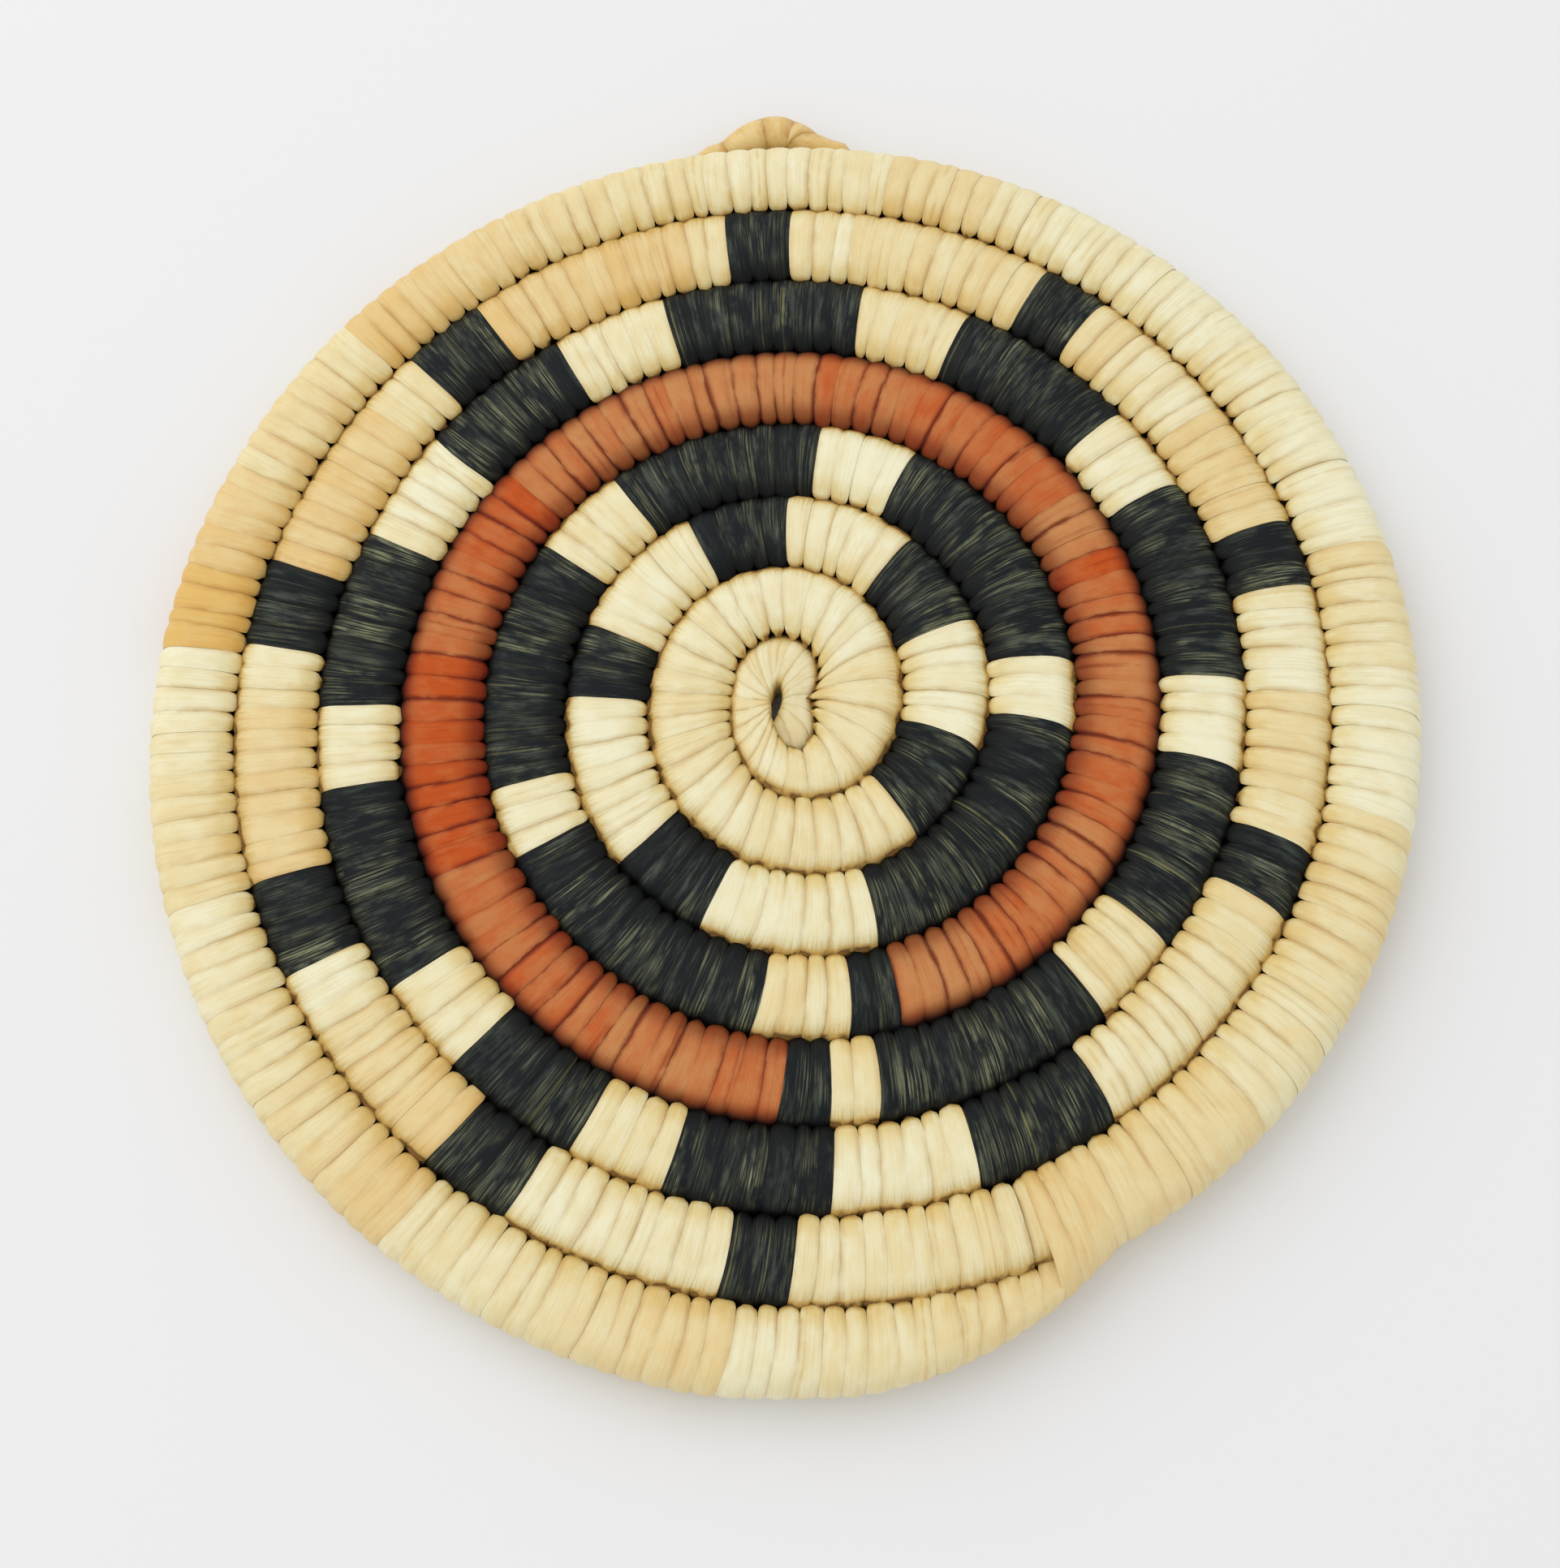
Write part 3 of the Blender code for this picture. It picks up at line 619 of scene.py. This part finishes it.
def build_stitches(materials):
    """One object for each colour run. The solids' outer natural runs are one node, which each of them
    replaces."""
    draw = np.random.default_rng(SEED + 3)
    points, numbers, place = shape_stitches()
    tone_noise = draw.normal(0, 1, len(place))
    for number, (colour, _) in enumerate(STITCH_CHART):
        stitches = run_of(place) == number
        tones = stitch_tones(colour, place[stitches], tone_noise[stitches])
        shape = points[stitches].shape[:-1]
        attributes = {title: values[stitches] for title, values in numbers.items()}
        attributes["tone"] = np.broadcast_to(tones[:, None, None], shape)
        title = f"stitches_{number + 1:02d}_{colour}"
        piece = make_object(title, points[stitches], band_faces(*shape), attributes, materials[colour])
        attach(piece, "root")
        if colour == "natural" and number >= FIRST_CARRIED_RUN:
            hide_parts("wrap_border_natural")
        else:
            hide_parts(f"wrap_{number + 1:02d}_{colour}")


# The foundation


def build_foundation(material):
    """The grass bundle, a ridged tube along the whole coil that shows only in the stitch holes."""
    draw = np.random.default_rng(SEED + 1)
    stations = np.arange(FOUNDATION_INSET, TOTAL_STITCHES - FOUNDATION_INSET, FOUNDATION_STEP)
    middle, outwards, half, height, _ = coil_at(stations)
    turn = TURN * np.arange(FOUNDATION_SIDES) / FOUNDATION_SIDES
    blades = draw.uniform(1 - BLADE_DEPTH_SHARE, 1, (len(stations), FOUNDATION_SIDES))
    sideways = np.maximum(half - FOUNDATION_DEPTH, SHORTEST_HALF)[:, None] * np.cos(turn) * blades
    points = middle[:, None, :] + outwards[:, None, :] * sideways[..., None]
    points[..., 2] += (height - FOUNDATION_DEPTH)[:, None] * np.sin(turn) * blades
    faces = tube_faces(len(stations), FOUNDATION_SIDES)
    splint = np.zeros(points.shape)
    splint[..., 0] = turn * COIL_PITCH / 2
    splint[..., 1] = stations[:, None] * STITCH_WIDTH
    piece = make_object("foundation_grass", points, faces, {"splint": splint}, material)
    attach(piece, "root")
    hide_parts("foundation_bundle")


# The hanging loop


def rim_points(angle):
    """Outer edge of the last turn in these directions, and the unit vectors outwards there."""
    angle = angle + TURN * np.floor((TIP_ANGLE - angle) / TURN)
    inner, outer = seam(angle), seam(angle + TURN)
    outwards = (outer - inner) / np.linalg.norm(outer - inner, axis=-1)[..., None]
    return outer + outwards * (bulge(angle) - TURN_GAP / 2)[..., None], outwards


def loop_at(share):
    """Middle and radius of the loop, from -1 at its right foot to 1 at its left one, and a bit past both."""
    rim_radius = np.linalg.norm(rim_points(np.array(LOOP_ANGLE))[0])
    rise = (1 + np.cos(math.pi * np.clip(share, -1, 1))) / 2
    radius = mix(LOOP_FOOT_DIAMETER, LOOP_DIAMETER, rise) / 2
    edge, outwards = rim_points(LOOP_ANGLE + share * LOOP_SPAN / 2 / rim_radius)
    past = np.clip(np.abs(share) - 1, 0, None) * LOOP_SINK
    stand_off = SEAT_GAP + radius + LOOP_STAND_OFF * rise - past
    flat = edge + outwards * stand_off[..., None] + np.array(COIL_CENTRE)
    return np.concatenate((flat, np.full_like(radius, LOOP_MID_HEIGHT)[..., None]), -1), radius


def build_loop(loop_material, grass_material):
    """The loop's wrap, a few broad bands whose edges slant, over its bundle."""
    draw = np.random.default_rng(SEED + 2)
    turn = TURN * (np.arange(ROUND_POINTS) + 0.5) / ROUND_POINTS
    shares = np.array(ACROSS_SHARES + BAND_INSIDE_SHARES)
    bands = []
    for (start, start_slant), (end, end_slant) in zip(LOOP_EDGES, LOOP_EDGES[1:]):
        first = start + start_slant * np.cos(turn)
        last = end + end_slant * np.cos(turn)
        bands.append(mix(first[:, None], last[:, None], (1 + shares) / 2))
    station = np.array(bands)
    middle, radius = loop_at(station)
    ahead, _ = loop_at(station + LOOP_PROBE)
    behind, _ = loop_at(station - LOOP_PROBE)
    along = (ahead - behind) / np.linalg.norm(ahead - behind, axis=-1)[..., None]
    sideways = np.cross(along, (0, 0, 1))
    drop = -LOOP_CROWN * np.abs(shares) ** CROWN_POWER
    drop[len(ACROSS_SHARES) :] = -LOOP_THICKNESS
    arm = (radius + drop) * (1 - draw.uniform(0, LOOP_SCATTER_SHARE, (len(bands), 1, 1)))
    points = middle + sideways * (arm * np.cos(turn)[None, :, None])[..., None]
    points[..., 2] += arm * np.sin(turn)[None, :, None]
    splint = np.empty(points.shape)
    splint[..., 0] = shares * LOOP_SPAN / 2 / len(bands)
    splint[..., 1] = (turn * LOOP_DIAMETER / 2)[None, :, None]
    splint[..., 2] = draw.uniform(0, 1, (len(bands), 1, 1))
    # Painted shade near the grooves between the bands
    near = smooth_step((np.abs(shares) - LOOP_GROOVE_SHADE_START_SHARE) / (1 - LOOP_GROOVE_SHADE_START_SHARE))
    grooves = np.broadcast_to(near, points.shape[:-1])
    attributes = {"splint": splint, "groove": grooves}
    piece = make_object("loop_bands", points, band_faces(*points.shape[:-1]), attributes, loop_material)
    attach(piece, "root")
    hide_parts("loop_wrap")

    station = np.linspace(-LOOP_BUNDLE_END, LOOP_BUNDLE_END, LOOP_BUNDLE_STEPS)
    middle, radius = loop_at(station)
    along = np.gradient(middle, axis=0)
    sideways = np.cross(along / np.linalg.norm(along, axis=-1)[:, None], (0, 0, 1))
    arm = (radius - LOOP_THICKNESS)[:, None]
    points = middle[:, None, :] + sideways[:, None, :] * (arm * np.cos(turn))[..., None]
    points[..., 2] += arm * np.sin(turn)
    faces = tube_faces(len(station), ROUND_POINTS)
    splint = np.zeros(points.shape)
    splint[..., 0] = turn * LOOP_DIAMETER / 2
    splint[..., 1] = station[:, None] * LOOP_SPAN / 2
    piece = make_object("loop_grass", points, faces, {"splint": splint}, grass_material)
    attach(piece, "root")
    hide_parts("loop_bundle")


# Materials


class Nodes:
    """Short words for building a material's node tree."""

    def __init__(self, name):
        self.material = bpy.data.materials.new(name)
        self.material.use_nodes = True
        self.tree = self.material.node_tree
        self.shader = self.tree.nodes["Principled BSDF"]
        self.shader.inputs["Roughness"].default_value = ROUGHNESS[name]
        self.shader.inputs["Specular IOR Level"].default_value = SHINE[name]

    def put(self, socket, value):
        """Links another node's socket to this one, or sets its number or colour."""
        if isinstance(value, bpy.types.NodeSocket):
            self.tree.links.new(value, socket)
        else:
            socket.default_value = value

    def add(self, kind, **inputs):
        node = self.tree.nodes.new(kind)
        for name, value in inputs.items():
            self.put(node.inputs[name], value)
        return node

    def attribute(self, name, output="Fac"):
        node = self.tree.nodes.new("ShaderNodeAttribute")
        node.attribute_name = name
        return node.outputs[output]

    def math(self, operation, a, b=0.0, clamp=False):
        node = self.tree.nodes.new("ShaderNodeMath")
        node.operation = operation
        node.use_clamp = clamp
        for socket, value in zip(node.inputs, (a, b)):
            self.put(socket, value)
        return node.outputs[0]

    def span(self, value, limits, to_low=0.0, to_high=1.0):
        """A smooth step of the value from its one limit to the other, scaled to the last two numbers."""
        node = self.tree.nodes.new("ShaderNodeMapRange")
        node.interpolation_type = "SMOOTHSTEP"
        self.tree.links.new(value, node.inputs["Value"])
        names = "From Min", "From Max", "To Min", "To Max"
        for name, number in zip(names, (*limits, to_low, to_high)):
            node.inputs[name].default_value = number
        return node.outputs["Result"]

    def stretch(self, vector, scale):
        """The place on the splint, scaled across it, along it and by the stitch's own number."""
        node = self.tree.nodes.new("ShaderNodeVectorMath")
        node.operation = "MULTIPLY"
        self.tree.links.new(vector, node.inputs[0])
        node.inputs[1].default_value = scale
        return node.outputs[0]

    def noise(self, vector, scale, detail=3.0, roughness=0.55):
        node = self.add("ShaderNodeTexNoise", Vector=self.stretch(vector, scale))
        node.inputs["Scale"].default_value = 1
        node.inputs["Detail"].default_value = detail
        node.inputs["Roughness"].default_value = roughness
        return node.outputs["Fac"]

    def blend(self, share, a, b, kind="MIX"):
        node = self.tree.nodes.new("ShaderNodeMix")
        node.data_type = "RGBA"
        node.blend_type = kind
        for name, value in (("Factor", share), ("A", a), ("B", b)):
            self.put(next(s for s in node.inputs if s.name == name and s.enabled), value)
        return next(s for s in node.outputs if s.enabled)

    def ramp(self, share, stops):
        node = self.tree.nodes.new("ShaderNodeValToRGB")
        self.tree.links.new(share, node.inputs["Fac"])
        elements = node.color_ramp.elements
        while len(elements) < len(stops):
            elements.new(0.5)
        for element, (position, colour) in zip(elements, stops):
            element.position = position
            element.color = colour
        return node.outputs["Color"]

    def finish(self, colour, height, strength, distance):
        """Links the colour and a bump from the height."""
        self.tree.links.new(colour, self.shader.inputs["Base Color"])
        bump = self.add("ShaderNodeBump", Height=height)
        bump.inputs["Strength"].default_value = strength
        bump.inputs["Distance"].default_value = distance
        self.tree.links.new(bump.outputs["Normal"], self.shader.inputs["Normal"])
        return self.material


def splint_patterns(nodes, fold_range=FOLD_RANGE):
    """Fibre streaks along the splint, finer ones, a slow mottle, the painted shade near the groove, and how
    near the fold is.
    """
    splint = nodes.attribute("splint", "Vector")
    streaks = nodes.noise(splint, STREAK_SCALES, detail=4)
    fine = nodes.noise(splint, FINE_SCALES, detail=2)
    mottle = nodes.noise(splint, MOTTLE_SCALES)
    groove = nodes.math("MULTIPLY", nodes.attribute("groove"), nodes.span(mottle, MOTTLE_RANGE, LEAST_GROOVE_SHADE))
    fold = nodes.add("ShaderNodeSeparateXYZ", Vector=nodes.attribute("fold", "Vector")).outputs
    fold = nodes.math("MULTIPLY", nodes.span(fold[0], fold_range), fold[1])
    return streaks, fine, mottle, groove, nodes.math("MULTIPLY", fold, nodes.span(mottle, MOTTLE_RANGE))


def splint_ends(nodes):
    """How near the inner end, the outer end and the seam are, for the painted shade there."""
    return nodes.add("ShaderNodeSeparateXYZ", Vector=nodes.attribute("ends", "Vector")).outputs


def mottled_tone(nodes, mottle, swing):
    """The stitch's tone, up and down a little in patches."""
    tone = nodes.attribute("tone")
    patches = nodes.span(mottle, TONE_MOTTLE_RANGE, -swing, swing)
    return nodes.math("ADD", tone, patches, clamp=True)


def natural_material():
    nodes = Nodes("natural")
    streaks, fine, mottle, groove, fold = splint_patterns(nodes)
    inner, outer, seam_shade_share = splint_ends(nodes)
    tone = mottled_tone(nodes, mottle, NATURAL_TONE_SWING)
    colour = nodes.ramp(tone, ((0, CREAM), (0.33, STRAW), (0.66, TAN), (1, GOLDEN)))
    streaked = nodes.span(streaks, STREAK_RANGE, 0, NATURAL_STREAKS)
    colour = nodes.blend(streaked, colour, FIBRE_SHADE, "MULTIPLY")
    # Painted shade towards the inner and outer ends of the stitches, where the coil rounds down into the
    # seams
    inner = nodes.math("MULTIPLY", inner, nodes.span(mottle, MOTTLE_RANGE, LEAST_INNER_SHADE))
    colour = nodes.blend(inner, colour, NATURAL_INNER_SHADE, "MULTIPLY")
    outer = nodes.math("MULTIPLY", outer, nodes.span(streaks, OUTER_STREAK_RANGE, LEAST_OUTER_SHADE))
    colour = nodes.blend(outer, colour, NATURAL_OUTER_SHADE, "MULTIPLY")
    colour = nodes.blend(fold, colour, NATURAL_FOLD, "MULTIPLY")
    # Painted shade in the grooves between stitches
    colour = nodes.blend(groove, colour, NATURAL_GROOVE_SHADE, "MULTIPLY")
    # Painted shade in the seam between turns, golden at its edge and brown within
    seam_shade_share = nodes.math("MULTIPLY", seam_shade_share, nodes.span(mottle, SEAM_SHADE_MOTTLE_RANGE, LEAST_SEAM_SHADE))
    stops = ((SEAM_SHADE_EDGE_RANGE[1], NATURAL_SEAM_EDGE_SHADE), (0.75, NATURAL_SEAM_SHADE), (1, NATURAL_HOLE_SHADE))
    colour = nodes.blend(nodes.span(seam_shade_share, SEAM_SHADE_EDGE_RANGE), colour, nodes.ramp(seam_shade_share, stops))
    return nodes.finish(colour, nodes.math("ADD", streaks, fine), NATURAL_BUMP, BUMP_DISTANCE)


def black_material():
    nodes = Nodes("black")
    streaks, fine, mottle, groove, fold = splint_patterns(nodes, BLACK_FOLD_RANGE)
    inner, outer, seam_shade_share = splint_ends(nodes)
    scuffs = nodes.noise(nodes.attribute("splint", "Vector"), SCUFF_SCALES, detail=4, roughness=0.65)
    scuffs = nodes.math("MULTIPLY", nodes.span(scuffs, SCUFF_RANGE), nodes.math("SUBTRACT", 1, inner))
    # Faded fibres on the black, partly painted sheen, with less of both towards the inner end
    fading_and_sheen = nodes.math("MULTIPLY", nodes.span(streaks, FADING_AND_SHEEN_STREAKS), nodes.span(mottle, FADING_AND_SHEEN_MOTTLE))
    inner_no_sheen_or_fading = nodes.math("MULTIPLY", inner, INNER_NO_SHEEN_OR_FADING_SHARE)
    fading_and_sheen = nodes.math("MULTIPLY", fading_and_sheen, nodes.math("SUBTRACT", 1, inner_no_sheen_or_fading))
    fading_and_sheen = nodes.math("MULTIPLY", fading_and_sheen, nodes.attribute("tone"), clamp=True)
    colour = nodes.blend(scuffs, BLACK_SPLINT, BLACK_SCUFF)
    colour = nodes.blend(fading_and_sheen, colour, BLACK_FADED_AND_SHEEN)
    colour = nodes.blend(fold, colour, BLACK_FOLD)
    # Painted shade towards both ends, less at the outer one
    either_end = nodes.math("MAXIMUM", inner, nodes.math("MULTIPLY", outer, BLACK_OUTER_SHADE_SHARE))
    colour = nodes.blend(either_end, colour, BLACK_ENDS_SHADE, "MULTIPLY")
    # Painted shade in the grooves between stitches
    colour = nodes.blend(groove, colour, BLACK_GROOVE_SHADE, "MULTIPLY")
    # Painted shade in the seam between turns
    colour = nodes.blend(seam_shade_share, colour, BLACK_SEAM_SHADE)
    return nodes.finish(colour, nodes.math("ADD", streaks, fine), DYED_BUMP, BUMP_DISTANCE)


def red_material():
    nodes = Nodes("red")
    streaks, fine, mottle, groove, fold = splint_patterns(nodes)
    inner, outer, seam_shade_share = splint_ends(nodes)
    tone = mottled_tone(nodes, mottle, RED_TONE_SWING)
    colour = nodes.ramp(tone, ((0, RED_PALE), (1, RED_DEEP)))
    # Painted shade towards both ends of the stitches
    colour = nodes.blend(nodes.math("MAXIMUM", inner, outer), colour, RED_ENDS_SHADE, "MULTIPLY")
    streaked = nodes.span(streaks, RED_STREAK_RANGE, 0, RED_STREAKS)
    colour = nodes.blend(streaked, colour, FIBRE_SHADE, "MULTIPLY")
    colour = nodes.blend(fold, colour, RED_FOLD, "MULTIPLY")
    # Painted shade in the grooves between stitches
    colour = nodes.blend(nodes.span(groove, RED_GROOVE_SHADE_RANGE), colour, RED_GROOVE_SHADE, "MULTIPLY")
    # Painted shade in the seam between turns
    colour = nodes.blend(seam_shade_share, colour, RED_SEAM_SHADE)
    return nodes.finish(colour, nodes.math("ADD", streaks, fine), DYED_BUMP, BUMP_DISTANCE)


def loop_material():
    nodes = Nodes("loop")
    streaks, fine, mottle, groove, _ = splint_patterns(nodes)
    colour = nodes.blend(nodes.span(mottle, LOOP_MOTTLE_RANGE), LOOP_TAN, LOOP_GOLD)
    streaked = nodes.span(streaks, STREAK_RANGE, 0, LOOP_STREAKS)
    colour = nodes.blend(streaked, colour, FIBRE_SHADE, "MULTIPLY")
    # Painted shade in the grooves between the bands
    colour = nodes.blend(groove, colour, NATURAL_GROOVE_SHADE, "MULTIPLY")
    return nodes.finish(colour, nodes.math("ADD", streaks, fine), NATURAL_BUMP, BUMP_DISTANCE)


def grass_material():
    nodes = Nodes("grass")
    splint = nodes.attribute("splint", "Vector")
    blades = nodes.noise(splint, BLADE_SCALES)
    colour = nodes.blend(nodes.span(blades, BLADE_RANGE), GRASS_DARK, GRASS)
    return nodes.finish(colour, blades, GRASS_BUMP, GRASS_BUMP_DISTANCE)


# The stage


def add_stage():
    mesh = bpy.data.meshes.new("floor")
    half = FLOOR_HALF
    corners = (-half, -half, 0), (half, -half, 0), (half, half, 0), (-half, half, 0)
    mesh.from_pydata(corners, [], [(0, 1, 2, 3)])
    floor = bpy.data.objects.new("floor", mesh)
    bpy.context.scene.collection.objects.link(floor)
    nodes = Nodes("floor")
    nodes.shader.inputs["Base Color"].default_value = FLOOR
    mesh.materials.append(nodes.material)


def add_window():
    """A square soft light that faces the plaque."""
    light = bpy.data.lights.new("window", "AREA")
    light.size = WINDOW_SIZE
    light.energy = WINDOW_POWER
    window = bpy.data.objects.new("window", light)
    window.location = WINDOW_PLACE
    window.rotation_euler = Vector(WINDOW_PLACE).to_track_quat("Z", "Y").to_euler()
    bpy.context.scene.collection.objects.link(window)


def add_world():
    """Plain white light from all round, seen as the pale backdrop where the floor ends."""
    world = bpy.data.worlds.new("studio")
    world.use_nodes = True
    background = world.node_tree.nodes["Background"]
    background.inputs["Color"].default_value = (1, 1, 1, 1)
    background.inputs["Strength"].default_value = WORLD_STRENGTH
    bpy.context.scene.world = world


def add_camera():
    data = bpy.data.cameras.new("camera")
    data.sensor_width = SENSOR_SIZE_MM
    data.lens = FOCAL_PIXELS / PHOTO_HEIGHT * SENSOR_SIZE_MM
    data.shift_x = (PHOTO_WIDTH / 2 - LENS_CENTRE_PIXELS[0]) / PHOTO_HEIGHT
    data.shift_y = (LENS_CENTRE_PIXELS[1] - PHOTO_HEIGHT / 2) / PHOTO_HEIGHT
    camera = bpy.data.objects.new("camera", data)
    camera.rotation_euler = Euler((CAMERA_TILT, CAMERA_LEAN, 0))
    back = camera.rotation_euler.to_matrix() @ Vector((0, 0, CAMERA_DISTANCE))
    camera.location = Vector((*COIL_CENTRE, SEAM_HEIGHT)) + back
    bpy.context.scene.collection.objects.link(camera)
    bpy.context.scene.camera = camera


def main():
    materials = {"natural": natural_material(), "black": black_material(), "red": red_material()}
    build_stitches(materials)
    grass = grass_material()
    build_foundation(grass)
    build_loop(loop_material(), grass)
    add_stage()
    add_world()
    add_window()
    add_camera()
    bpy.context.scene.view_settings.view_transform = "Standard"


main()
